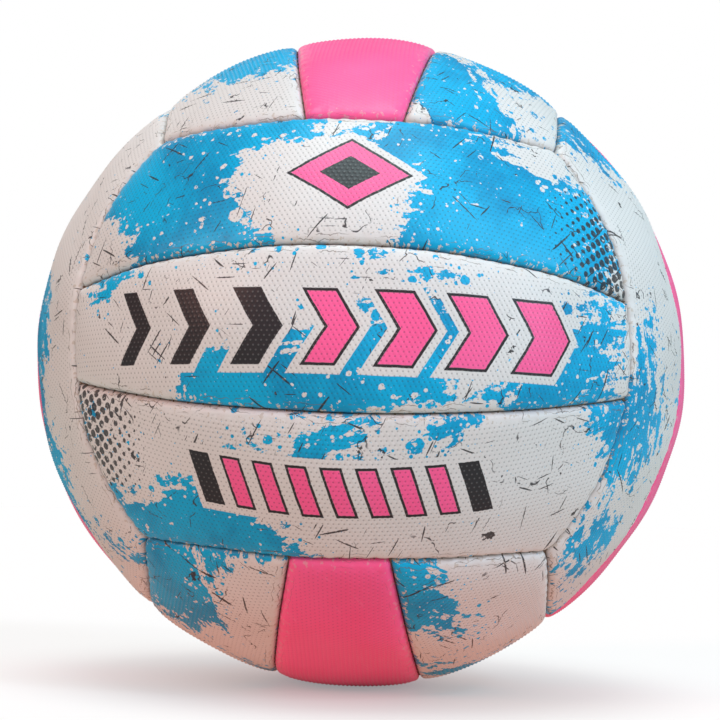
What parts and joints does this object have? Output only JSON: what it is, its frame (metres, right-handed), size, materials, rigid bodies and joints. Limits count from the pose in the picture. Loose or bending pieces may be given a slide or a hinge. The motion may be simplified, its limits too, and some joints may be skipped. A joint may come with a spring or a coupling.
{
  "type": "netball",
  "caption": "Round hand ball of stitched rubber strips laid in faces at right angles, over cloth lining, an air bladder and a pull-out needle valve core.",
  "frame": {"origin": "centre of the ball", "axes": "+Z from the centre through the valve, -Y towards the front face whose strips run along X"},
  "size_m": [0.2246, 0.2246, 0.2245],
  "materials": {
    "white_cover": "satin",
    "pink_cover": "satin",
    "lining": "matte",
    "thread": "matte",
    "bladder": "satin",
    "valve_patch": "matte",
    "valve_housing": "satin",
    "valve_core": "satin"
  },
  "bodies": {
    "ball": {"front_lower_cover": "white_cover", "front_lower_lining": "lining", "front_middle_cover": "white_cover", "front_middle_lining": "lining", "front_upper_cover": "white_cover", "front_upper_lining": "lining", "front_strip_threads": "thread", "front_bottom_thread": "thread", "front_top_thread": "thread", "back_lower_cover": "white_cover", "back_lower_lining": "lining", "back_middle_cover": "white_cover", "back_middle_lining": "lining", "back_upper_cover": "white_cover", "back_upper_lining": "lining", "back_strip_threads": "thread", "back_bottom_thread": "thread", "back_top_thread": "thread", "top_left_cover": "white_cover", "top_left_lining": "lining", "top_middle_cover": "pink_cover", "top_middle_lining": "lining", "top_right_cover": "white_cover", "top_right_lining": "lining", "top_strip_threads": "thread", "top_left_thread": "thread", "top_right_thread": "thread", "bottom_left_cover": "white_cover", "bottom_left_lining": "lining", "bottom_middle_cover": "pink_cover", "bottom_middle_lining": "lining", "bottom_right_cover": "white_cover", "bottom_right_lining": "lining", "bottom_strip_threads": "thread", "bottom_left_thread": "thread", "bottom_right_thread": "thread", "right_front_cover": "white_cover", "right_front_lining": "lining", "right_middle_cover": "pink_cover", "right_middle_lining": "lining", "right_rear_cover": "white_cover", "right_rear_lining": "lining", "right_strip_threads": "thread", "right_front_thread": "thread", "right_back_thread": "thread", "left_front_cover": "white_cover", "left_front_lining": "lining", "left_middle_cover": "pink_cover", "left_middle_lining": "lining", "left_rear_cover": "white_cover", "left_rear_lining": "lining", "left_strip_threads": "thread", "left_front_thread": "thread", "left_back_thread": "thread", "bladder": "bladder", "valve_patch": "valve_patch", "valve_housing": "valve_housing"},
    "valve_plug": {"valve_core": "valve_core"}
  },
  "joints": [
    {"name": "valve_core_slide", "type": "slide", "parent": "ball", "child": "valve_plug", "axis": [0, 0, 1], "range_m": [0, 0.024]}
  ]
}
